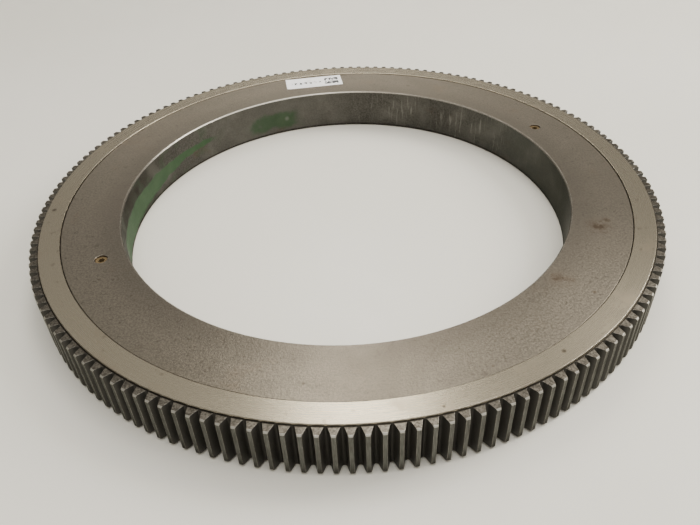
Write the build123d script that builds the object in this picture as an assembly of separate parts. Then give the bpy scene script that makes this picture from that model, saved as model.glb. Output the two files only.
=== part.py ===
"""Slewing ring bearing: four-point contact ball bearing with external gear teeth on its outer ring.

The bearing lies flat on the XY plane with its axis on +Z. The origin is on the axis, at the level
of the inner ring's lower face. All sizes are in millimetres and all angles in degrees.
"""
import os
from math import acos, asin, cos, pi, radians, sin, sqrt, tan

from build123d import *

# ---- gear ----
TOOTH_COUNT = 166
MODULE = 25.4 / 8                                  # 8 diametral pitch
PRESSURE_ANGLE = 20
PITCH_R = TOOTH_COUNT * MODULE / 2
TIP_R = PITCH_R + MODULE
ROOT_R = PITCH_R - 1.157 * MODULE
FLANK_END_R = ROOT_R + 1.1                         # the rounded root starts here
TOOTH_PHASE = 0.34                                 # the angle at which the gear ring is drawn
TIP_CHAMFER = 1.0                                  # turned on the blank before the teeth were cut

# ---- heights ----
HEIGHT = 41.275                                    # table to the gear ring's land
RING_OFFSET = 0.8                                  # the gear ring stands this much higher
INNER_TOP = HEIGHT - RING_OFFSET
GEAR_BOTTOM = RING_OFFSET
TOOTH_TOP = HEIGHT - 1.6
TOOTH_BOTTOM = GEAR_BOTTOM + 0.8
BALL_PLANE = HEIGHT / 2

# ---- ring diameters ----
BORE_R = 193.675                                   # 15 1/4 in bore
BORE_CHAMFER = 1.0
JOINT_R = 242.5
JOINT_GAP = 1.0
INNER_OUTER_R = JOINT_R - JOINT_GAP / 2
GEAR_INNER_R = JOINT_R + JOINT_GAP / 2
GUARD_R = INNER_OUTER_R + 0.5                      # thin shoulder that narrows the joint line
GUARD_THICK = 1.9
LAND_R = 259.3
EDGE_BREAK = 0.5
JOINT_BREAK = 0.25                                 # edges along the joint line are nearly sharp

# ---- balls, raceway and cage ----
BALL_D = 15.875                                    # 5/8 in
BALL_COUNT = 72
SET_COUNT = 12
BALLS_PER_SET = BALL_COUNT // SET_COUNT
RACE_R = 8.35                                      # groove radius, a little over the ball's
CHANNEL_HALF_WIDTH = 2.1                           # shoulders step back for the cage
CHANNEL_HALF_HEIGHT = 11.0
CAGE_THICK = 2.8
CAGE_HEIGHT = 19.6
POCKET_D = 16.7
CAGE_GAP = 0.8                                     # between neighbouring segments

# ---- seals ----
SEAL_DEPTH = 3.5                                   # groove in the inner ring's outer wall
SEAL_HEIGHT = 2.6
SEAL_RECESS = 2.2                                  # from the ring face to the groove
SEAL_FIT = 0.03
SEAL_LIP_CLEAR = 0.45

# ---- loading plug and its pin ----
PLUG_ANGLE = 290
PLUG_D = 17.5
PLUG_FIT = 0.02
PLUG_SUNK = 0.6                                    # below the bore's surface
PLUG_PULL_HOLE = (6.8, 8.0)                        # tapped hole for drawing it out
PIN_R = 206.0                                      # where the pin stands
PIN_BIG_D = 6.6
PIN_LENGTH = 31.0
PIN_TAPER = 1 / 48

# ---- grease ports ----
PORT_ANGLES = {"left": 204.7, "right": 25.7}
PORT_R = 213.4
PORT_THREAD_D = 10.2
PORT_DEPTH = 13.0
PORT_PLUG_LENGTH = 8.0
PORT_PLUG_SUNK = 1.2
PORT_SOCKET = 4.76                                 # across flats
PASSAGE_D = 5.0

# ---- tapped mounting holes, both from below ----
INNER_BOLTS = dict(count=18, circle_r=216.0, drill=10.2, depth=20.0, start=0.0)
GEAR_BOLTS = dict(count=24, circle_r=251.5, drill=6.8, depth=9.5, start=7.5)

# ---- stock label ----
LABEL_SIZE = (63.5, 25.4, 0.2)
LABEL_CENTRE = (-29.8, 223.6)
LABEL_TURN = 7.3
LABEL_CURL = (7.0, 60.0)                           # length that lifts, and its bend radius


def polar(radius, angle):
    return radius * cos(radians(angle)), radius * sin(radians(angle))


def ring(inner_r, outer_r, low, high):
    """A plain round ring between two heights."""
    section = Polygon((inner_r, low), (outer_r, low), (outer_r, high), (inner_r, high), align=None)
    return revolve(Plane.XZ * section, Axis.Z)


def turned(*points):
    """A body of revolution from its (radius, height) outline."""
    return revolve(Plane.XZ * Polygon(*points, align=None), Axis.Z)


def radial_bar(diameter, start_r, end_r, angle, height):
    """A round bar that points away from the axis."""
    x, y = polar(start_r, angle)
    direction = (cos(radians(angle)), sin(radians(angle)), 0)
    at = Plane(origin=(x, y, height), x_dir=(0, 0, 1), z_dir=direction)
    return extrude(at * Circle(diameter / 2), end_r - start_r)


def upright_bar(diameter, radius, angle, low, high):
    x, y = polar(radius, angle)
    return Pos(x, y, low) * extrude(Circle(diameter / 2), high - low)


def blind_holes(count, circle_r, drill, depth, start, face):
    """Drill shapes for a circle of blind holes from below, each with a small mouth chamfer."""
    hole = Pos(0, 0, face) * extrude(Circle(drill / 2), depth)
    hole += Pos(0, 0, face + depth) * Cone(drill / 2, 0.4, drill * 0.28,
                                           align=(Align.CENTER, Align.CENTER, Align.MIN))
    hole += Pos(0, 0, face) * Cone(drill / 2 + 0.7, drill / 2, 0.7,
                                   align=(Align.CENTER, Align.CENTER, Align.MIN))
    return [Rot(0, 0, start + n * 360 / count) * Pos(circle_r, 0, 0) * hole for n in range(count)]


def gear_outline():
    """The whole tooth outline as one closed face: arc flanks that follow the involute."""
    base_r = PITCH_R * cos(radians(PRESSURE_ANGLE))

    def involute(angle):
        return tan(angle) - angle

    def half_angle(radius):
        return (pi / (2 * TOOTH_COUNT) + involute(radians(PRESSURE_ANGLE))
                - involute(acos(base_r / radius)))

    def at(radius, angle):
        return radius * cos(angle), radius * sin(angle)

    middle_r = (FLANK_END_R + TIP_R) / 2
    foot, belly, tip = half_angle(FLANK_END_R), half_angle(middle_r), half_angle(TIP_R)
    pitch = 2 * pi / TOOTH_COUNT
    edges = []
    for n in range(TOOTH_COUNT):
        c = radians(TOOTH_PHASE) + n * pitch
        edges += [
            ThreePointArc(at(FLANK_END_R, c - foot), at(middle_r, c - belly), at(TIP_R, c - tip)),
            ThreePointArc(at(TIP_R, c - tip), at(TIP_R, c), at(TIP_R, c + tip)),
            ThreePointArc(at(TIP_R, c + tip), at(middle_r, c + belly), at(FLANK_END_R, c + foot)),
            ThreePointArc(at(FLANK_END_R, c + foot), at(ROOT_R, c + pitch / 2),
                          at(FLANK_END_R, c + pitch - foot)),
        ]
    return make_face(Wire(edges))


# The raceway: a round groove, and the stepped-back shoulders that leave room for the cage.
raceway = Pos(0, 0, BALL_PLANE) * Torus(JOINT_R, RACE_R)
raceway += ring(JOINT_R - CHANNEL_HALF_WIDTH, JOINT_R + CHANNEL_HALF_WIDTH,
                BALL_PLANE - CHANNEL_HALF_HEIGHT, BALL_PLANE + CHANNEL_HALF_HEIGHT)

# Outer gear ring: a turned blank with the teeth cut through it.
blank = turned((GEAR_INNER_R, TOOTH_BOTTOM), (TIP_R - TIP_CHAMFER, TOOTH_BOTTOM),
               (TIP_R + 0.01, TOOTH_BOTTOM + TIP_CHAMFER + 0.01),
               (TIP_R + 0.01, TOOTH_TOP - TIP_CHAMFER - 0.01),
               (TIP_R - TIP_CHAMFER, TOOTH_TOP), (GEAR_INNER_R, TOOTH_TOP))
teeth = Pos(0, 0, TOOTH_BOTTOM) * extrude(gear_outline(), TOOTH_TOP - TOOTH_BOTTOM)
land = turned((GEAR_INNER_R, GEAR_BOTTOM + EDGE_BREAK), (GEAR_INNER_R + EDGE_BREAK, GEAR_BOTTOM),
              (LAND_R - EDGE_BREAK, GEAR_BOTTOM), (LAND_R, GEAR_BOTTOM + EDGE_BREAK),
              (LAND_R, HEIGHT - EDGE_BREAK), (LAND_R - EDGE_BREAK, HEIGHT),
              (GUARD_R + JOINT_BREAK, HEIGHT), (GUARD_R, HEIGHT - JOINT_BREAK),
              (GUARD_R, HEIGHT - GUARD_THICK), (GEAR_INNER_R, HEIGHT - GUARD_THICK))
outer_gear_ring = (blank & teeth) + land - raceway
outer_gear_ring -= blind_holes(**GEAR_BOLTS, face=GEAR_BOTTOM)

# Loading plug: fills the ball loading hole and carries its share of the raceway.
plug_hole = radial_bar(PLUG_D, BORE_R - 5, JOINT_R, PLUG_ANGLE, BALL_PLANE)
loading_plug = radial_bar(PLUG_D - 2 * PLUG_FIT, BORE_R + PLUG_SUNK, JOINT_R, PLUG_ANGLE, BALL_PLANE)
loading_plug -= raceway
loading_plug -= radial_bar(PLUG_PULL_HOLE[0], BORE_R, BORE_R + PLUG_PULL_HOLE[1], PLUG_ANGLE,
                           BALL_PLANE)


def pin(extra, low):
    """The taper pin, or the reamed hole for it with extra on its radius."""
    big = PIN_BIG_D / 2 + extra
    small = big - PIN_LENGTH * PIN_TAPER / 2
    x, y = polar(PIN_R, PLUG_ANGLE)
    return Pos(x, y, low) * Cone(big, small, PIN_LENGTH, align=(Align.CENTER, Align.CENTER, Align.MIN))


pin_hole = pin(PLUG_FIT, 0) + upright_bar(PIN_BIG_D + 2 * PLUG_FIT, PIN_R, PLUG_ANGLE, -1, 0)
loading_plug -= pin_hole
loading_plug_taper_pin = pin(0, 0.4) - ring(0, JOINT_R, PIN_LENGTH - 0.2, HEIGHT)

# Seals: each sits in a groove of the inner ring and bridges the joint line with a thin lip.
groove_in_r = INNER_OUTER_R - SEAL_DEPTH
seal_lip_r = GEAR_INNER_R - SEAL_LIP_CLEAR
seals = {}
seal_grooves = []
for name, outside, inward in (("upper_seal", INNER_TOP, -1), ("lower_seal", 0, 1)):
    near = outside + inward * SEAL_RECESS
    far = near + inward * SEAL_HEIGHT
    seal_grooves.append(ring(groove_in_r, INNER_OUTER_R + 1, min(near, far), max(near, far)))
    a, b = near + inward * SEAL_FIT, far - inward * SEAL_FIT
    seals[name] = turned((groove_in_r + SEAL_FIT, a), (INNER_OUTER_R + 0.05, a),
                         (seal_lip_r, a - inward * 0.7), (seal_lip_r, a - inward * 0.2),
                         (INNER_OUTER_R + 0.2, a + inward * 0.9), (INNER_OUTER_R - 0.3, b),
                         (groove_in_r + SEAL_FIT, b))

# Inner ring: turned, then drilled for the grease ports, the plug and the bolts.
inner_ring = turned((BORE_R, BORE_CHAMFER), (BORE_R + BORE_CHAMFER, 0),
                    (INNER_OUTER_R - EDGE_BREAK, 0), (INNER_OUTER_R, EDGE_BREAK),
                    (INNER_OUTER_R, INNER_TOP - JOINT_BREAK), (INNER_OUTER_R - JOINT_BREAK, INNER_TOP),
                    (BORE_R + BORE_CHAMFER, INNER_TOP), (BORE_R, INNER_TOP - BORE_CHAMFER))
inner_ring -= raceway
inner_ring -= seal_grooves
inner_ring -= plug_hole
inner_ring -= pin_hole
inner_ring -= blind_holes(**INNER_BOLTS, face=0)

port_plugs = {}
for side, angle in PORT_ANGLES.items():
    inner_ring -= upright_bar(PORT_THREAD_D, PORT_R, angle, INNER_TOP - PORT_DEPTH, INNER_TOP + 1)
    inner_ring -= upright_bar(PASSAGE_D, PORT_R, angle, BALL_PLANE, INNER_TOP)
    inner_ring -= radial_bar(PASSAGE_D, PORT_R, JOINT_R, angle, BALL_PLANE)
    top = INNER_TOP - PORT_PLUG_SUNK
    brass = upright_bar(PORT_THREAD_D - 0.06, PORT_R, angle, top - PORT_PLUG_LENGTH, top)
    brass = chamfer(brass.edges().group_by(Axis.Z)[-1], 0.5)
    x, y = polar(PORT_R, angle)
    socket = RegularPolygon(PORT_SOCKET / 2, 6, major_radius=False, rotation=angle)
    port_plugs[f"grease_port_plug_{side}"] = brass - Pos(x, y, top - 4.5) * extrude(socket, 5)

# Cage segments and the balls each one carries.
ball_step = 360 / BALL_COUNT
set_step = 360 / SET_COUNT
cage_arc = set_step - 360 * CAGE_GAP / (2 * pi * JOINT_R)
cage_segments = {}
ball_sets = {}
strip_face = Plane.XZ * Polygon(
    *[(JOINT_R + sx * CAGE_THICK / 2, BALL_PLANE + sz * CAGE_HEIGHT / 2)
      for sx, sz in ((-1, -1), (1, -1), (1, 1), (-1, 1))], align=None)
segment = Rot(0, 0, -cage_arc / 2) * revolve(strip_face, Axis.Z, revolution_arc=cage_arc)
ball_angles = [(n - (BALLS_PER_SET - 1) / 2) * ball_step for n in range(BALLS_PER_SET)]
segment -= [radial_bar(POCKET_D, JOINT_R - 5, JOINT_R + 5, a, BALL_PLANE) for a in ball_angles]
for n in range(SET_COUNT):
    turn = Rot(0, 0, n * set_step)
    cage_segments[f"cage_segment_{n + 1:02d}"] = turn * segment
    ball_sets[f"ball_set_{n + 1:02d}"] = Compound(
        [turn * Rot(0, 0, a) * Pos(JOINT_R, 0, BALL_PLANE) * Sphere(BALL_D / 2) for a in ball_angles])

# Stock label: a thin rectangle stuck to the inner ring, lifting a little at one end.
length, width, thick = LABEL_SIZE
curl, bend_r = LABEL_CURL
flat = length / 2 - curl
lift = bend_r - sqrt(bend_r ** 2 - curl ** 2)
sweep = asin(curl / bend_r)
inner_bend = bend_r - thick


def bend_point(radius, angle):
    return -flat - radius * sin(angle), bend_r - radius * cos(angle)


label_edges = [
    Line((length / 2, 0), (-flat, 0)),
    ThreePointArc((-flat, 0), bend_point(bend_r, sweep / 2), bend_point(bend_r, sweep)),
    Line(bend_point(bend_r, sweep), bend_point(inner_bend, sweep)),
    ThreePointArc(bend_point(inner_bend, sweep), bend_point(inner_bend, sweep / 2), (-flat, thick)),
    Line((-flat, thick), (length / 2, thick)),
    Line((length / 2, thick), (length / 2, 0)),
]
side_view = make_face(Wire(label_edges))
label = extrude(Plane.XZ * side_view, width / 2, both=True)
stock_label = Pos(*LABEL_CENTRE, INNER_TOP) * Rot(0, 0, LABEL_TURN) * label

parts = {
    "inner_ring": inner_ring,
    "outer_gear_ring": outer_gear_ring,
    "loading_plug": loading_plug,
    "loading_plug_taper_pin": loading_plug_taper_pin,
    "stock_label": stock_label,
    **seals,
    **port_plugs,
    **cage_segments,
    **ball_sets,
}
os.makedirs("parts", exist_ok=True)
for name, shape in parts.items():
    export_step(shape, f"parts/{name}.step")
    print(name, "solids", len(shape.solids()), "volume", round(shape.volume))
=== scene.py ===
from math import pi, radians

import bpy
from mathutils import Euler, Matrix, Vector

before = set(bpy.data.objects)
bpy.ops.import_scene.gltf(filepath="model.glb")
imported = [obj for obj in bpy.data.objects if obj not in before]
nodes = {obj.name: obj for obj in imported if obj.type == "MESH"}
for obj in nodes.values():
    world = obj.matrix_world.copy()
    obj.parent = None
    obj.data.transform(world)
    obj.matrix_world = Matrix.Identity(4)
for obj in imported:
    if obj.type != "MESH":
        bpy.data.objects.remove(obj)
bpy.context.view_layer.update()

MM = 0.001


# ---- The bench, the shop light and the eye ----
# The bearing lies flat on a pale laminate bench top, under the broad soft light of a workshop
# ceiling. It is seen from in front and above, by someone leaning over the bench.

def start_material(name):
    """A new material: its node tree, its shader and a maker of nodes."""
    material = bpy.data.materials.new(name)
    material.use_nodes = True
    tree = material.node_tree
    return material, tree, tree.nodes["Principled BSDF"]


def add(tree, kind, inputs=None, **settings):
    """One node in a tree. inputs holds values, or the sockets of other nodes to link from."""
    node = tree.nodes.new(kind)
    for key, value in settings.items():
        setattr(node, key, value)
    for key, value in (inputs or {}).items():
        if isinstance(value, bpy.types.NodeSocket):
            tree.links.new(value, node.inputs[key])
        else:
            node.inputs[key].default_value = value
    return node


def maths(tree, operation, a, b=0.0, c=0.0, clamp=False):
    return add(tree, "ShaderNodeMath", {0: a, 1: b, 2: c}, operation=operation,
               use_clamp=clamp).outputs[0]


def smooth_step(tree, value, low, high, to_low=0.0, to_high=1.0):
    """to_low below low, to_high above high, and a smooth change between them."""
    return add(tree, "ShaderNodeMapRange",
               {"Value": value, "From Min": low, "From Max": high,
                "To Min": to_low, "To Max": to_high},
               interpolation_type="SMOOTHSTEP").outputs["Result"]


def mix_colour(tree, factor, a, b, blend="MIX"):
    """Colour a, going to colour b as factor goes from 0 to 1."""
    node = add(tree, "ShaderNodeMix", data_type="RGBA", blend_type=blend)
    for key, value in ((0, factor), (6, a), (7, b)):
        if isinstance(value, bpy.types.NodeSocket):
            tree.links.new(value, node.inputs[key])
        elif key == 0:
            node.inputs[key].default_value = value
        else:
            node.inputs[key].default_value = (*value, 1.0)
    return node.outputs[2]


def coat(tree, under, over, mask, strength):
    """Colour under, with colour over laid on it where the mask is, at that strength."""
    return mix_colour(tree, maths(tree, "MULTIPLY", mask, strength), under, over)


def noise(tree, vector, scale, detail=2.0, roughness=0.5, distortion=0.0):
    return add(tree, "ShaderNodeTexNoise",
               {"Vector": vector, "Scale": scale, "Detail": detail, "Roughness": roughness,
                "Distortion": distortion}).outputs["Fac"]


bench, tree, shader = start_material("bench_laminate")
place = add(tree, "ShaderNodeTexCoord").outputs["Object"]
cloudy = noise(tree, place, 2.5, 3.0)
rubbed = noise(tree, place, 38.0, 4.0, 0.6)
tree.links.new(mix_colour(tree, smooth_step(tree, cloudy, 0.3, 0.7), (0.94, 0.905, 0.80),
                          (0.975, 0.94, 0.84)), shader.inputs["Base Color"])
tree.links.new(smooth_step(tree, rubbed, 0.3, 0.7, 0.30, 0.42), shader.inputs["Roughness"])
shader.inputs["Specular IOR Level"].default_value = 0.35

bpy.ops.object.select_all(action="DESELECT")
bpy.ops.mesh.primitive_plane_add(size=9.0, location=(0, 1.5, 0))
bench_top = bpy.context.object
bench_top.name = "bench_top"
bpy.ops.object.transform_apply(location=True)
bench_top.data.materials.append(bench)

world = bpy.data.worlds.new("workshop")
bpy.context.scene.world = world
world.use_nodes = True
sky = world.node_tree
direction = add(sky, "ShaderNodeTexCoord").outputs["Generated"]
upward = add(sky, "ShaderNodeSeparateXYZ", {0: direction}).outputs["Z"]
WALLS, CEILING = (0.22, 0.21, 0.195), (1.0, 0.98, 0.93)
sky.links.new(mix_colour(sky, smooth_step(sky, upward, 0.10, 0.85), WALLS, CEILING),
              sky.nodes["Background"].inputs["Color"])
sky.nodes["Background"].inputs["Strength"].default_value = 0.57


def soft_box(name, location, look_at, size, power, tint=(1.0, 1.0, 1.0)):
    """A rectangular diffuser that faces a point."""
    light = bpy.data.lights.new(name, "AREA")
    light.shape = "RECTANGLE"
    light.size, light.size_y = size
    light.energy = power
    light.color = tint
    lamp = bpy.data.objects.new(name, light)
    lamp.location = location
    lamp.rotation_euler = (Vector(look_at) - Vector(location)).to_track_quat("-Z", "Y").to_euler()
    bpy.context.collection.objects.link(lamp)


soft_box("ceiling_panel_behind", (0.01, 1.25, 1.9), (0.0, -0.1, 0), (0.46, 1.4), 15,
         (1.0, 0.97, 0.90))
soft_box("ceiling_panel_right", (1.7, 0.5, 1.3), (0.1, 0, 0), (0.8, 1.2), 36, (1.0, 0.97, 0.91))
soft_box("ceiling_panel_overhead", (0.3, -0.5, 2.2), (0, 0, 0), (2.0, 1.2), 30,
         (1.0, 0.98, 0.94))

eye = bpy.data.objects.new("eye", bpy.data.cameras.new("eye"))
eye.data.sensor_width = 36.0
eye.data.lens = 34.22
eye.data.clip_start = 0.02
eye.location = (0.0, -0.5023, 0.3608)
tilt_down, turn_right, lean = radians(39.09), radians(0.17), radians(-2.61)
eye.rotation_euler = (Euler((pi / 2 - tilt_down, 0, -turn_right)).to_matrix()
                      @ Matrix.Rotation(lean, 3, "Z")).to_euler()
bpy.context.collection.objects.link(eye)
bpy.context.scene.camera = eye


# ---- Inner ring ----
# A forged steel ring, turned all over. Its upper face has gone dull and grainy with handling,
# and its bore still carries green machine paint from the seat it came off.

BORE_WALL = 193.8                  # radii, in millimetres, that part one surface from the next
BORE_MOUTH = 195.5
INNER_RIM = 242.2
GEAR_RIM = 245.0
LAND_EDGE = 259.4
TOOTH_TIP = 266.3
UNSHADED_JOINT_ARC = (78.0, 165.0, 14.0)  # degrees round the ring where the joint line gets no painted shade
MOUTH_HIGHLIGHT_ARC = (90.0, 160.0, 16.0)  # where a highlight is painted on the bore's mouth chamfer
PAINTED_BORE = (136.0, 196.0, 2.0)  # where the band of green paint is
SHADED_TEETH_ARC = (42.0, 150.0, 18.0)  # where painted shade darkens the tooth ends


def ring_coordinates():
    """Node group: where a point lies, as radius and height in millimetres and angle in degrees."""
    group = bpy.data.node_groups.new("ring_coordinates", "ShaderNodeTree")
    for name in ("Radius", "Angle", "Height"):
        group.interface.new_socket(name, in_out="OUTPUT", socket_type="NodeSocketFloat")
    out = group.nodes.new("NodeGroupOutput")
    place = add(group, "ShaderNodeTexCoord").outputs["Object"]
    x, y, z = add(group, "ShaderNodeSeparateXYZ", {0: place}).outputs
    squares = maths(group, "ADD", maths(group, "MULTIPLY", x, x), maths(group, "MULTIPLY", y, y))
    radius = maths(group, "MULTIPLY", maths(group, "SQRT", squares), 1000.0)
    group.links.new(radius, out.inputs["Radius"])
    turn = maths(group, "MULTIPLY", maths(group, "ARCTAN2", y, x), 180 / pi)
    group.links.new(maths(group, "WRAP", turn, 360.0, 0.0), out.inputs["Angle"])
    group.links.new(maths(group, "MULTIPLY", z, 1000.0), out.inputs["Height"])
    return group


def turning_marks():
    """Node group: fine lines left by a tool while the ring spun, as a mask from 0 to 1."""
    group = bpy.data.node_groups.new("turning_marks", "ShaderNodeTree")
    for name, default in (("Radius", 0.0), ("Height", 0.0), ("Angle", 0.0), ("Lines per mm", 2.0),
                          ("Drift", 0.02)):
        socket = group.interface.new_socket(name, in_out="INPUT", socket_type="NodeSocketFloat")
        socket.default_value = default
    group.interface.new_socket("Mask", in_out="OUTPUT", socket_type="NodeSocketFloat")
    ins, out = group.nodes.new("NodeGroupInput"), group.nodes.new("NodeGroupOutput")
    density = ins.outputs["Lines per mm"]
    place = add(group, "ShaderNodeCombineXYZ", {
        0: maths(group, "MULTIPLY", ins.outputs["Radius"], density),
        1: maths(group, "MULTIPLY", ins.outputs["Angle"], ins.outputs["Drift"]),
        2: maths(group, "MULTIPLY", ins.outputs["Height"], density)}).outputs[0]
    lines = noise(group, place, 1.0, 3.0, 0.65)
    group.links.new(smooth_step(group, lines, 0.25, 0.75), out.inputs["Mask"])
    return group


def worn_edges():
    """Node group: a mask of the metal near an outside edge, broken up by a grain."""
    group = bpy.data.node_groups.new("worn_edges", "ShaderNodeTree")
    for name, default in (("Width mm", 0.6), ("Grain per mm", 0.8)):
        socket = group.interface.new_socket(name, in_out="INPUT", socket_type="NodeSocketFloat")
        socket.default_value = default
    group.interface.new_socket("Mask", in_out="OUTPUT", socket_type="NodeSocketFloat")
    group.interface.new_socket("Normal", in_out="OUTPUT", socket_type="NodeSocketVector")
    ins, out = group.nodes.new("NodeGroupInput"), group.nodes.new("NodeGroupOutput")
    radius = maths(group, "MULTIPLY", ins.outputs["Width mm"], MM)
    rounded = add(group, "ShaderNodeBevel", {"Radius": radius}, samples=4).outputs["Normal"]
    true_normal = add(group, "ShaderNodeNewGeometry").outputs["Normal"]
    facing = add(group, "ShaderNodeVectorMath", {0: rounded, 1: true_normal},
                 operation="DOT_PRODUCT").outputs["Value"]
    edge = smooth_step(group, facing, 0.999, 0.93)
    place = add(group, "ShaderNodeTexCoord").outputs["Object"]
    per_metre = maths(group, "MULTIPLY", ins.outputs["Grain per mm"], 1000.0)
    grain = noise(group, place, per_metre, 2.0, 0.6)
    group.links.new(maths(group, "MULTIPLY", edge, smooth_step(group, grain, 0.3, 0.6)),
                    out.inputs["Mask"])
    group.links.new(rounded, out.inputs["Normal"])
    return group


def smudges():
    """Node group: soft irregular blotches, as a mask from 0 to 1."""
    group = bpy.data.node_groups.new("smudges", "ShaderNodeTree")
    for name, default in (("Per metre", 20.0), ("Start", 0.5), ("Full", 0.7), ("Seed", 0.0)):
        socket = group.interface.new_socket(name, in_out="INPUT", socket_type="NodeSocketFloat")
        socket.default_value = default
    group.interface.new_socket("Mask", in_out="OUTPUT", socket_type="NodeSocketFloat")
    ins, out = group.nodes.new("NodeGroupInput"), group.nodes.new("NodeGroupOutput")
    place = add(group, "ShaderNodeTexCoord").outputs["Object"]
    shift = add(group, "ShaderNodeCombineXYZ", {0: ins.outputs["Seed"], 1: ins.outputs["Seed"]})
    moved = add(group, "ShaderNodeVectorMath", {0: place, 1: shift.outputs[0]}).outputs[0]
    cloud = noise(group, moved, ins.outputs["Per metre"], 5.0, 0.6, 0.4)
    group.links.new(smooth_step(group, cloud, ins.outputs["Start"], ins.outputs["Full"]),
                    out.inputs["Mask"])
    return group


coordinates_group = ring_coordinates()
turning_group = turning_marks()
edge_group = worn_edges()
smudge_group = smudges()


def grouped(tree, group, **inputs):
    node = add(tree, "ShaderNodeGroup", node_tree=group)
    for key, value in inputs.items():
        name = key.replace("_", " ")
        if isinstance(value, bpy.types.NodeSocket):
            tree.links.new(value, node.inputs[name])
        else:
            node.inputs[name].default_value = value
    return node


def ring_place(tree):
    """Radius, angle and height sockets of the point being shaded."""
    node = grouped(tree, coordinates_group)
    return node.outputs["Radius"], node.outputs["Angle"], node.outputs["Height"]


def spot(tree, radius, angle, at_radius, at_angle, size, soft=0.5):
    """A mask of one round mark on a flat face, by its place and its radius in millimetres."""
    along = maths(tree, "MULTIPLY", maths(tree, "SUBTRACT", angle, at_angle), at_radius * pi / 180)
    out = maths(tree, "SUBTRACT", radius, at_radius)
    distance = maths(tree, "SQRT", maths(tree, "ADD", maths(tree, "MULTIPLY", along, along),
                                         maths(tree, "MULTIPLY", out, out)))
    return smooth_step(tree, distance, size * (1 + soft), size * (1 - soft))


def band(tree, value, low, high, soft):
    """A mask that is 1 between low and high, with soft ends."""
    rise = smooth_step(tree, value, low - soft, low + soft)
    fall = smooth_step(tree, value, high - soft, high + soft, 1.0, 0.0)
    return maths(tree, "MULTIPLY", rise, fall)


def dress(names, material):
    """Give the named pieces one material in place of the one they came with."""
    for name in names:
        nodes[name].data.materials.clear()
        nodes[name].data.materials.append(material)


def turned_finish(tree, shader, amount):
    """Highlights stretched across the tool lines, as on any turned face."""
    shader.inputs["Anisotropic"].default_value = amount
    shader.inputs["Anisotropic Rotation"].default_value = 0.25
    tangent = add(tree, "ShaderNodeTangent", direction_type="RADIAL", axis="Z")
    tree.links.new(tangent.outputs[0], shader.inputs["Tangent"])


inner_steel, tree, shader = start_material("inner_ring_turned_steel")
radius, angle, height = ring_place(tree)
upward = add(tree, "ShaderNodeSeparateXYZ",
             {0: add(tree, "ShaderNodeNewGeometry").outputs["True Normal"]}).outputs["Z"]
top_face = smooth_step(tree, upward, 0.5, 0.9)
place = add(tree, "ShaderNodeTexCoord").outputs["Object"]
in_bore = maths(tree, "LESS_THAN", radius, BORE_WALL)

# The upper face: grain, tool lines, dark specks, hand marks and a bloom of rust.
lines = grouped(tree, turning_group, Radius=radius, Height=height, Angle=angle,
                Lines_per_mm=1.3, Drift=0.05).outputs["Mask"]
grain = noise(tree, place, 620.0, 3.0, 0.7)
specks = smooth_step(tree, noise(tree, place, 260.0, 2.0, 0.5), 0.62, 0.74)
handled = grouped(tree, smudge_group, Per_metre=14.0, Start=0.42, Full=0.68).outputs["Mask"]
rusty = grouped(tree, smudge_group, Per_metre=34.0, Start=0.58, Full=0.74, Seed=3.0).outputs["Mask"]

face = mix_colour(tree, smooth_step(tree, grain, 0.36, 0.64), (0.185, 0.161, 0.125),
                  (0.273, 0.239, 0.186))
face = coat(tree, face, (0.31, 0.270, 0.215), lines, 0.16)
face = coat(tree, face, (0.10, 0.084, 0.064), specks, 0.45)
face = coat(tree, face, (0.135, 0.113, 0.088), handled, 0.30)
face = coat(tree, face, (0.22, 0.15, 0.095), rusty, 0.22)
toward_bore = smooth_step(tree, radius, 225.0, 198.0)
face = coat(tree, face, (0.130, 0.112, 0.090), toward_bore, 0.40)

# The bore: dark and mottled, with painted light at the back, cooler at the right, and light streaks
# painted on as highlights.
# Painted light: the bore is made lighter at the back, between about 92 and 135 degrees.
lit_bore_back = band(tree, angle, 92.0, 135.0, 20.0)
mottled = smooth_step(tree, noise(tree, place, 48.0, 6.0, 0.75), 0.35, 0.65)
bore = mix_colour(tree, smooth_step(tree, grain, 0.3, 0.7), (0.046, 0.044, 0.040),
                  (0.098, 0.093, 0.083))
bore = coat(tree, bore, (0.030, 0.028, 0.025), mottled, 0.30)
bore = coat(tree, bore, (0.145, 0.141, 0.128), lit_bore_back, 0.45)
aside = maths(tree, "ABSOLUTE", maths(tree, "WRAP", angle, 180.0, -180.0))
bore = mix_colour(tree, smooth_step(tree, aside, 60.0, 15.0, 0.0, 0.55), bore,
                  (0.084, 0.090, 0.080))
wiped = grouped(tree, smudge_group, Per_metre=26.0, Start=0.45, Full=0.7, Seed=7.0).outputs["Mask"]
bore = coat(tree, bore, (0.155, 0.151, 0.136), wiped, 0.4)
# Painted highlights: light axial streaks on the bore, between about 28 and 80 degrees.
streaks = noise(tree, add(tree, "ShaderNodeCombineXYZ",
                          {0: maths(tree, "MULTIPLY", angle, 1.1),
                           2: maths(tree, "MULTIPLY", height, 0.03)}).outputs[0], 1.0, 4.0, 0.65)
streak_highlights = maths(tree, "MULTIPLY", smooth_step(tree, streaks, 0.55, 0.68),
              band(tree, angle, 28.0, 80.0, 12.0))
bore = coat(tree, bore, (0.21, 0.205, 0.185), streak_highlights, 0.6)
bore = coat(tree, bore, (0.085, 0.050, 0.034), rusty, 0.40)

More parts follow.
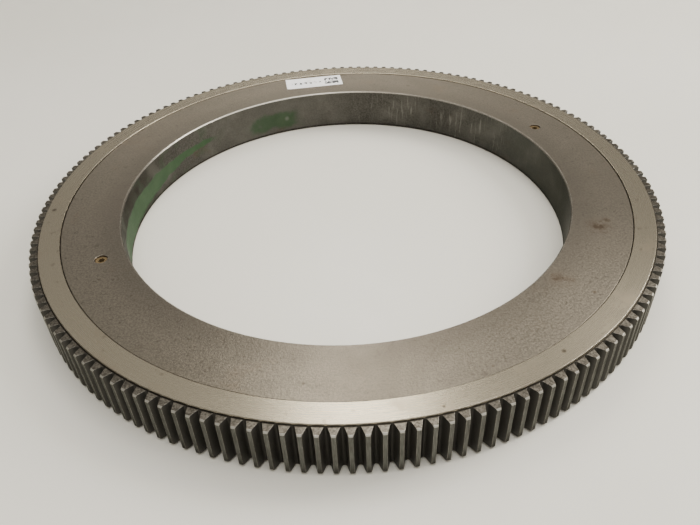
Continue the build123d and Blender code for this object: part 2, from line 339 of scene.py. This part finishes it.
# Green machine paint: a band with a tail at the left, traces round it, and one patch at the back.
uneven = maths(tree, "SUBTRACT", noise(tree, place, 60.0, 4.0, 0.6), 0.5)
ragged = maths(tree, "MULTIPLY", uneven, 8.0)
paint_height = maths(tree, "ADD", height, ragged)
paint_side = maths(tree, "ADD", angle, ragged)
tail = smooth_step(tree, angle, 178.0, 136.0, 3.0, 19.0)
above_tail = smooth_step(tree, maths(tree, "SUBTRACT", paint_height, tail), -1.0, 1.0)
low_band = maths(tree, "MULTIPLY", above_tail, smooth_step(tree, paint_height, 25.0, 23.0))
low_band = maths(tree, "MULTIPLY", low_band, band(tree, paint_side, *PAINTED_BORE))
traces = maths(tree, "MULTIPLY", smooth_step(tree, noise(tree, place, 70.0, 3.0, 0.6), 0.52, 0.60),
               band(tree, angle, 134.0, 192.0, 6.0))
far_ragged = maths(tree, "MULTIPLY", ragged, 1.6)
patch = maths(tree, "MULTIPLY", band(tree, maths(tree, "ADD", height, far_ragged), 7.0, 25.0, 3.0),
              band(tree, maths(tree, "ADD", angle, far_ragged), 105.5, 121.0, 3.0))
paint = maths(tree, "MAXIMUM", low_band, maths(tree, "MULTIPLY", patch, 0.8))
paint = maths(tree, "MAXIMUM", paint, maths(tree, "MULTIPLY", traces, 0.22))
paint = maths(tree, "MULTIPLY", paint, in_bore)
paint_colour = mix_colour(tree, noise(tree, place, 90.0, 3.0), (0.018, 0.054, 0.018),
                          (0.055, 0.108, 0.045))
bore = coat(tree, bore, paint_colour, paint, 0.9)
blemish = spot(tree, maths(tree, "ADD", height, 177.1), angle, 193.7, 108.5, 2.0, 0.8)
bore = coat(tree, bore, (0.22, 0.215, 0.19), blemish, 0.45)
# Painted shade: the bore goes nearly black in its lowest few millimetres, where it meets the bench.
bottom_shade = smooth_step(tree, height, 3.4, 1.6)
bore = coat(tree, bore, (0.014, 0.013, 0.011), bottom_shade, 0.85)

skin = mix_colour(tree, in_bore, face, bore)
# The mouth chamfer is lightened a little all round as polished metal, and strongly on the back arc
# as a painted highlight.
chamfer = maths(tree, "MULTIPLY", band(tree, upward, 0.60, 0.80, 0.05),
                smooth_step(tree, radius, BORE_MOUTH + 0.5, BORE_MOUTH))
mouth_highlight_side = band(tree, angle, *MOUTH_HIGHLIGHT_ARC)
polish_and_highlight = maths(tree, "MULTIPLY", chamfer, smooth_step(tree, mouth_highlight_side, 0.0, 1.0, 0.12, 0.80))
skin = mix_colour(tree, polish_and_highlight, skin, (0.56, 0.53, 0.46))

# Brown smears on the upper face, each by its radius, angle, size and strength.
broken = smooth_step(tree, noise(tree, place, 230.0, 4.0, 0.7), 0.36, 0.60, 0.35, 1.0)
smear = maths(tree, "MULTIPLY", spot(tree, radius, angle, 207.0, 318.2, 9.0, 0.9), 0.5)
for at_radius, at_angle, size, weight in ((203.2, 318.0, 3.6, 1.6), (209.0, 318.6, 3.0, 1.0),
                                          (213.8, 319.1, 2.6, 0.8), (232.3, 318.4, 1.3, 0.9),
                                          (216.0, 339.3, 9.0, 0.7), (215.5, 338.9, 3.8, 1.8),
                                          (221.0, 341.8, 3.4, 0.9), (216.4, 69.3, 1.6, 0.9),
                                          (228.0, 262.0, 1.0, 0.6), (236.0, 292.0, 1.0, 0.6)):
    mark = spot(tree, radius, angle, at_radius, at_angle, size, 0.8)
    smear = maths(tree, "MAXIMUM", smear, maths(tree, "MULTIPLY", mark, weight))
smear = maths(tree, "MULTIPLY", smear, broken)
smear = maths(tree, "MINIMUM", maths(tree, "MULTIPLY", smear, top_face), 1.0)
skin = coat(tree, skin, (0.062, 0.040, 0.023), smear, 0.85)

# Worn edges, and painted shade along the joint line, left off on an arc at the back.
edges = grouped(tree, edge_group, Width_mm=0.8, Grain_per_mm=0.5)
joint_shade_side = maths(tree, "SUBTRACT", 1.0, band(tree, angle, *UNSHADED_JOINT_ARC))
at_joint = maths(tree, "MULTIPLY", smooth_step(tree, radius, INNER_RIM - 2.2, INNER_RIM - 1.2),
                 joint_shade_side)
wear = maths(tree, "MULTIPLY", edges.outputs["Mask"],
             smooth_step(tree, at_joint, 0.0, 1.0, 0.6, 0.05))
skin = mix_colour(tree, wear, skin, (0.55, 0.52, 0.46))
# Painted shade: a dark line on the rim beside the gap to the gear ring, left off on the back arc.
joint_shade = maths(tree, "MULTIPLY", at_joint, smooth_step(tree, radius, INNER_RIM - 0.6, INNER_RIM))
skin = coat(tree, skin, (0.050, 0.040, 0.030), joint_shade, 0.75)
tree.links.new(skin, shader.inputs["Base Color"])
tree.links.new(maths(tree, "SUBTRACT", 0.92, maths(tree, "MULTIPLY", paint, 0.85)),
               shader.inputs["Metallic"])
dull = smooth_step(tree, grain, 0.2, 0.8, 0.29, 0.41)
dull = maths(tree, "ADD", dull, maths(tree, "MULTIPLY", handled, 0.06))
dull = maths(tree, "ADD", dull, maths(tree, "MULTIPLY", paint, 0.25))
tree.links.new(maths(tree, "ADD", dull, maths(tree, "MULTIPLY", smear, 0.2)),
               shader.inputs["Roughness"])
relief = maths(tree, "ADD", maths(tree, "MULTIPLY", grain, 0.9),
               maths(tree, "MULTIPLY", lines, 0.1))
bump = add(tree, "ShaderNodeBump", {"Height": relief, "Normal": edges.outputs["Normal"],
                                    "Strength": 0.40, "Distance": 0.0004})
tree.links.new(bump.outputs[0], shader.inputs["Normal"])
tree.links.new(mix_colour(tree, in_bore, (1.0, 1.0, 1.0), (0.36, 0.36, 0.35)),
               shader.inputs["Specular Tint"])
turned_finish(tree, shader, 0.55)
dress(["inner_ring"], inner_steel)


# ---- Loading plug and taper pin ----
# The plug is a steel bar end, turned and ground to share the raceway's curve, that closes the hole
# the balls go in by. A taper pin driven up from below keeps it there.

plug_steel, tree, shader = start_material("plug_ground_steel")
place = add(tree, "ShaderNodeTexCoord").outputs["Object"]
xyz = add(tree, "ShaderNodeSeparateXYZ", {0: place}).outputs
from_middle = add(tree, "ShaderNodeCombineXYZ",
                  {0: xyz["X"], 2: maths(tree, "SUBTRACT", xyz["Z"], 0.0206)}).outputs[0]
rings = add(tree, "ShaderNodeTexWave", {"Vector": from_middle, "Scale": 420.0, "Distortion": 1.5,
                                        "Detail": 2.0}, wave_type="RINGS", rings_direction="Y")
grain = noise(tree, place, 900.0, 3.0, 0.7)
colour = mix_colour(tree, rings.outputs["Fac"], (0.20, 0.185, 0.16), (0.34, 0.32, 0.285))
colour = mix_colour(tree, smooth_step(tree, grain, 0.5, 0.8), colour, (0.13, 0.115, 0.095))
edges = grouped(tree, edge_group, Width_mm=0.4, Grain_per_mm=1.0)
colour = coat(tree, colour, (0.6, 0.58, 0.53), edges.outputs["Mask"], 0.7)
tree.links.new(colour, shader.inputs["Base Color"])
shader.inputs["Metallic"].default_value = 0.95
tree.links.new(smooth_step(tree, grain, 0.2, 0.8, 0.28, 0.42), shader.inputs["Roughness"])
bump = add(tree, "ShaderNodeBump", {"Height": rings.outputs["Fac"],
                                    "Normal": edges.outputs["Normal"],
                                    "Strength": 0.25, "Distance": 0.0002})
tree.links.new(bump.outputs[0], shader.inputs["Normal"])
dress(["loading_plug", "loading_plug_taper_pin"], plug_steel)


# ---- Grease port plugs ----
# Two brass pipe plugs with a hexagon socket, screwed down just below the inner ring's face.
# Their thread's first turn shows at the rim, and the inside of the socket is darker and less
# metallic.

plug_brass, tree, shader = start_material("plug_tarnished_brass")
place = add(tree, "ShaderNodeTexCoord").outputs["Object"]
tarnish = smooth_step(tree, noise(tree, place, 420.0, 4.0, 0.6), 0.35, 0.65)
grain = noise(tree, place, 1900.0, 3.0, 0.7)
colour = mix_colour(tree, tarnish, (0.40, 0.290, 0.150), (0.24, 0.172, 0.088))
height = add(tree, "ShaderNodeSeparateXYZ", {0: place}).outputs["Z"]
in_socket = smooth_step(tree, height, 0.0391, 0.0380)
colour = coat(tree, colour, (0.120, 0.090, 0.052), in_socket, 0.75)
edges = grouped(tree, edge_group, Width_mm=0.25, Grain_per_mm=2.0)
colour = coat(tree, colour, (0.45, 0.33, 0.17), edges.outputs["Mask"], 0.4)
tree.links.new(colour, shader.inputs["Base Color"])
tree.links.new(maths(tree, "SUBTRACT", 0.9, maths(tree, "MULTIPLY", in_socket, 0.5)),
               shader.inputs["Metallic"])
tree.links.new(smooth_step(tree, tarnish, 0.0, 1.0, 0.30, 0.48), shader.inputs["Roughness"])
bump = add(tree, "ShaderNodeBump", {"Height": grain, "Normal": edges.outputs["Normal"],
                                    "Strength": 0.2, "Distance": 0.0001})
tree.links.new(bump.outputs[0], shader.inputs["Normal"])
dress(["grease_port_plug_left", "grease_port_plug_right"], plug_brass)


# ---- Seals ----
# Black nitrile rubber rings, pressed into the inner ring above and below the balls. Each has a
# thin lip that closes the joint line, and grease has wept past it.

seal_rubber, tree, shader = start_material("seal_nitrile_rubber")
place = add(tree, "ShaderNodeTexCoord").outputs["Object"]
dust = grouped(tree, smudge_group, Per_metre=60.0, Start=0.45, Full=0.75).outputs["Mask"]
grain = noise(tree, place, 700.0, 3.0, 0.6)
colour = mix_colour(tree, dust, (0.014, 0.013, 0.012), (0.060, 0.052, 0.042))
tree.links.new(colour, shader.inputs["Base Color"])
tree.links.new(smooth_step(tree, grain, 0.2, 0.8, 0.45, 0.70), shader.inputs["Roughness"])
bump = add(tree, "ShaderNodeBump", {"Height": grain, "Strength": 0.3, "Distance": 0.0001})
tree.links.new(bump.outputs[0], shader.inputs["Normal"])
dress(["upper_seal", "lower_seal"], seal_rubber)


# ---- Cage segments and balls ----
# Twelve moulded nylon strips stand between the rings, each with six pockets for polished chrome
# steel balls. A film of amber grease covers both.

cage_nylon, tree, shader = start_material("cage_moulded_nylon")
place = add(tree, "ShaderNodeTexCoord").outputs["Object"]
grease = grouped(tree, smudge_group, Per_metre=90.0, Start=0.42, Full=0.62).outputs["Mask"]
grain = noise(tree, place, 1500.0, 2.0, 0.6)
colour = mix_colour(tree, grain, (0.60, 0.56, 0.43), (0.66, 0.62, 0.50))
colour = coat(tree, colour, (0.34, 0.21, 0.07), grease, 0.6)
tree.links.new(colour, shader.inputs["Base Color"])
tree.links.new(smooth_step(tree, grease, 0.0, 1.0, 0.45, 0.22), shader.inputs["Roughness"])
bump = add(tree, "ShaderNodeBump", {"Height": grain, "Strength": 0.2, "Distance": 0.0001})
tree.links.new(bump.outputs[0], shader.inputs["Normal"])

ball_steel, tree, shader = start_material("ball_chrome_steel")
place = add(tree, "ShaderNodeTexCoord").outputs["Object"]
film = grouped(tree, smudge_group, Per_metre=130.0, Start=0.45, Full=0.62, Seed=1.0).outputs["Mask"]
track = noise(tree, place, 500.0, 3.0, 0.6)
colour = mix_colour(tree, track, (0.66, 0.66, 0.66), (0.74, 0.74, 0.73))
colour = coat(tree, colour, (0.42, 0.29, 0.12), film, 0.4)
tree.links.new(colour, shader.inputs["Base Color"])
tree.links.new(maths(tree, "SUBTRACT", 1.0, maths(tree, "MULTIPLY", film, 0.35)),
               shader.inputs["Metallic"])
tree.links.new(smooth_step(tree, track, 0.3, 0.7, 0.06, 0.16), shader.inputs["Roughness"])

dress([name for name in nodes if name.startswith("cage_segment")], cage_nylon)
dress([name for name in nodes if name.startswith("ball_set")], ball_steel)


# ---- Outer gear ring ----
# The same forged steel with the teeth hobbed through a turned blank. The land on top is ground
# bright, the tooth ends are left as turned, and black open-gear grease fills the tooth spaces.

gear_steel, tree, shader = start_material("gear_ring_steel")
radius, angle, height = ring_place(tree)
place = add(tree, "ShaderNodeTexCoord").outputs["Object"]
upward = add(tree, "ShaderNodeSeparateXYZ",
             {0: add(tree, "ShaderNodeNewGeometry").outputs["True Normal"]}).outputs["Z"]
flat_faces = maths(tree, "GREATER_THAN", maths(tree, "ABSOLUTE", upward), 0.5)
in_teeth = maths(tree, "GREATER_THAN", radius, LAND_EDGE)
at_tip = smooth_step(tree, radius, TOOTH_TIP, TOOTH_TIP + 0.3)

ground = grouped(tree, turning_group, Radius=radius, Height=height, Angle=angle,
                 Lines_per_mm=2.2, Drift=0.15).outputs["Mask"]
fine = noise(tree, place, 900.0, 3.0, 0.7)
dents = smooth_step(tree, noise(tree, place, 150.0, 2.0, 0.5), 0.66, 0.74)
stain = grouped(tree, smudge_group, Per_metre=26.0, Start=0.56, Full=0.76, Seed=5.0).outputs["Mask"]
oily = grouped(tree, smudge_group, Per_metre=55.0, Start=0.40, Full=0.65, Seed=2.0).outputs["Mask"]

# The ground land, with dents, rust bloom and three small dark marks.
land = mix_colour(tree, ground, (0.42, 0.366, 0.270), (0.485, 0.424, 0.317))
land = mix_colour(tree, smooth_step(tree, fine, 0.35, 0.65, 0.0, 0.35), land, (0.36, 0.312, 0.230))
land = coat(tree, land, (0.23, 0.188, 0.135), dents, 0.5)
land = coat(tree, land, (0.31, 0.235, 0.16), stain, 0.45)
for at_radius, at_angle, size in ((253.2, 184.0, 1.8), (250.0, 303.0, 1.4), (255.0, 282.0, 0.9)):
    mark = spot(tree, radius, angle, at_radius, at_angle, size, 0.6)
    land = coat(tree, land, (0.10, 0.075, 0.05), mark, 0.8)

# The teeth: grainy ends with a painted highlight on the bevel and painted shade at the back, drawn
# tips that darken downward, dark flanks.
coarse = noise(tree, place, 700.0, 3.0, 0.75)
tooth_end = mix_colour(tree, smooth_step(tree, coarse, 0.38, 0.62), (0.090, 0.080, 0.065),
                       (0.240, 0.215, 0.176))
tooth_end = coat(tree, tooth_end, (0.070, 0.062, 0.050), oily, 0.35)
# Painted shade: the tooth ends at the back are darkened almost to black.
shaded_back_teeth = band(tree, angle, *SHADED_TEETH_ARC)
# Painted highlight: the bevels round the tooth ends are made light.
bevel_highlight = band(tree, maths(tree, "ABSOLUTE", upward), 0.60, 0.80, 0.05)
tooth_end = coat(tree, tooth_end, (0.66, 0.63, 0.55), bevel_highlight, 0.85)
tooth_end = coat(tree, tooth_end, (0.034, 0.030, 0.024), shaded_back_teeth, 0.72)
tip_lines = noise(tree, add(tree, "ShaderNodeCombineXYZ",
                            {0: maths(tree, "MULTIPLY", angle, 9.0),
                             2: maths(tree, "MULTIPLY", height, 0.12)}).outputs[0], 1.0, 3.0, 0.6)
tip = mix_colour(tree, smooth_step(tree, tip_lines, 0.3, 0.7), (0.090, 0.090, 0.082),
                 (0.180, 0.180, 0.163))
tip = coat(tree, tip, (0.045, 0.043, 0.036), oily, 0.35)
tip = mix_colour(tree, smooth_step(tree, height, 12.0, 3.0, 0.0, 0.6), tip, (0.030, 0.028, 0.024))
flank = mix_colour(tree, fine, (0.038, 0.036, 0.032), (0.080, 0.075, 0.065))
flank = mix_colour(tree, smooth_step(tree, radius, 263.5, 266.5, 0.0, 0.3), flank,
                   (0.10, 0.095, 0.08))

# Worn edges, left unworn at the joint line outside the back arc and on the shaded tooth ends, and
# painted shade in the corner where land and teeth meet.
tooth = mix_colour(tree, at_tip, flank, tip)
tooth = mix_colour(tree, flat_faces, tooth, tooth_end)
shaded_teeth = maths(tree, "MULTIPLY", shaded_back_teeth, in_teeth)
edges = grouped(tree, edge_group, Width_mm=0.45, Grain_per_mm=0.7)
skin = mix_colour(tree, in_teeth, land, tooth)
# Outside the back arc the edges at the joint line get no wear lightening, to go with the painted
# shade there.
joint_shade_side = maths(tree, "SUBTRACT", 1.0, band(tree, angle, *UNSHADED_JOINT_ARC))
at_joint = maths(tree, "MULTIPLY", smooth_step(tree, radius, GEAR_RIM + 1.0, GEAR_RIM), joint_shade_side)
unworn = maths(tree, "MAXIMUM", shaded_teeth, at_joint)
wear = maths(tree, "MULTIPLY", edges.outputs["Mask"],
             smooth_step(tree, unworn, 0.0, 1.0, 0.55, 0.03))
skin = mix_colour(tree, wear, skin, (0.66, 0.63, 0.56))
# Painted shade: a dark line in the corner below the land's outer edge.
corner_shade = maths(tree, "MULTIPLY", band(tree, radius, LAND_EDGE - 0.25, LAND_EDGE + 0.75, 0.12),
               smooth_step(tree, height, 40.2, 39.9))
skin = coat(tree, skin, (0.020, 0.017, 0.013), corner_shade, 0.9)
tree.links.new(skin, shader.inputs["Base Color"])
tree.links.new(mix_colour(tree, in_teeth, (1.0, 1.0, 1.0), (0.40, 0.40, 0.38)),
               shader.inputs["Specular Tint"])
behind_tip = maths(tree, "MULTIPLY", in_teeth, maths(tree, "SUBTRACT", 1.0, at_tip))
greasy = maths(tree, "MULTIPLY", behind_tip, maths(tree, "SUBTRACT", 1.0, flat_faces))
tree.links.new(maths(tree, "SUBTRACT", 0.95, maths(tree, "MULTIPLY", greasy, 0.65)),
               shader.inputs["Metallic"])
dull = smooth_step(tree, ground, 0.0, 1.0, 0.30, 0.25)
dull = maths(tree, "ADD", dull, maths(tree, "MULTIPLY", in_teeth, 0.13))
tree.links.new(maths(tree, "ADD", dull, maths(tree, "MULTIPLY", stain, 0.08)),
               shader.inputs["Roughness"])
relief = maths(tree, "ADD", maths(tree, "MULTIPLY", ground, 0.5),
               maths(tree, "MULTIPLY", fine, 0.5))
bump = add(tree, "ShaderNodeBump", {"Height": relief, "Normal": edges.outputs["Normal"],
                                    "Strength": 0.10, "Distance": 0.0002})
tree.links.new(bump.outputs[0], shader.inputs["Normal"])
turned_finish(tree, shader, 0.6)
dress(["outer_gear_ring"], gear_steel)


# ---- Stock label ----
# A strip of white paper label stuck on the inner ring's face, with a square code at one end and
# a row of printed dashes. The other end has started to lift.

LABEL_MIDDLE = (-0.0298, 0.2236, 0.0)
LABEL_TURN = radians(7.3)

label_paper, tree, shader = start_material("label_printed_paper")
place = add(tree, "ShaderNodeTexCoord").outputs["Object"]
centred = add(tree, "ShaderNodeVectorMath", {0: place, 1: LABEL_MIDDLE},
              operation="SUBTRACT").outputs[0]
squared = add(tree, "ShaderNodeVectorRotate", {"Vector": centred, "Angle": -LABEL_TURN},
              rotation_type="Z_AXIS").outputs[0]
xyz = add(tree, "ShaderNodeSeparateXYZ", {0: squared}).outputs
along = maths(tree, "MULTIPLY", xyz["X"], 1000.0)
across = maths(tree, "MULTIPLY", xyz["Y"], 1000.0)


def cells(size, seed):
    """White noise in square cells, for printed marks that mean nothing."""
    grid = add(tree, "ShaderNodeCombineXYZ",
               {0: maths(tree, "FLOOR", maths(tree, "DIVIDE", along, size)),
                1: maths(tree, "FLOOR", maths(tree, "DIVIDE", across, size)), 2: seed}).outputs[0]
    return add(tree, "ShaderNodeTexWhiteNoise", {"Vector": grid}).outputs["Value"]


code = maths(tree, "MULTIPLY", band(tree, along, 12.0, 28.0, 0.1),
             band(tree, across, -8.0, 8.0, 0.1))
code = maths(tree, "MULTIPLY", code, maths(tree, "GREATER_THAN", cells(1.6, 4.0), 0.30))
off_middle = maths(tree, "GREATER_THAN", maths(tree, "ABSOLUTE", across), 1.0)
code = maths(tree, "MULTIPLY", code, off_middle)
dash = maths(tree, "MULTIPLY", band(tree, along, -26.0, 8.0, 0.1),
             band(tree, across, -3.6, 1.4, 0.1))
dash = maths(tree, "MULTIPLY", dash, maths(tree, "GREATER_THAN", cells(1.6, 9.0), 0.30))
spaced = maths(tree, "LESS_THAN", maths(tree, "WRAP", along, 5.6, 0.0), 3.2)
dash = maths(tree, "MULTIPLY", dash, spaced)
printed = maths(tree, "MAXIMUM", code, dash)
fibre = noise(tree, place, 1400.0, 3.0, 0.7)
grubby = grouped(tree, smudge_group, Per_metre=70.0, Start=0.5, Full=0.75).outputs["Mask"]
paper = mix_colour(tree, fibre, (0.92, 0.905, 0.88), (0.97, 0.955, 0.93))
paper = coat(tree, paper, (0.50, 0.46, 0.39), grubby, 0.3)
paper = coat(tree, paper, (0.02, 0.02, 0.022), printed, 0.95)
tree.links.new(paper, shader.inputs["Base Color"])
# The paper colour also feeds the emission, so the label glows a little: painted light.
tree.links.new(paper, shader.inputs["Emission Color"])
tree.links.new(smooth_step(tree, fibre, 0.2, 0.8, 0.45, 0.60), shader.inputs["Roughness"])
bump = add(tree, "ShaderNodeBump", {"Height": fibre, "Strength": 0.15, "Distance": 0.0001})
tree.links.new(bump.outputs[0], shader.inputs["Normal"])
shader.inputs["Emission Strength"].default_value = 0.45
dress(["stock_label"], label_paper)
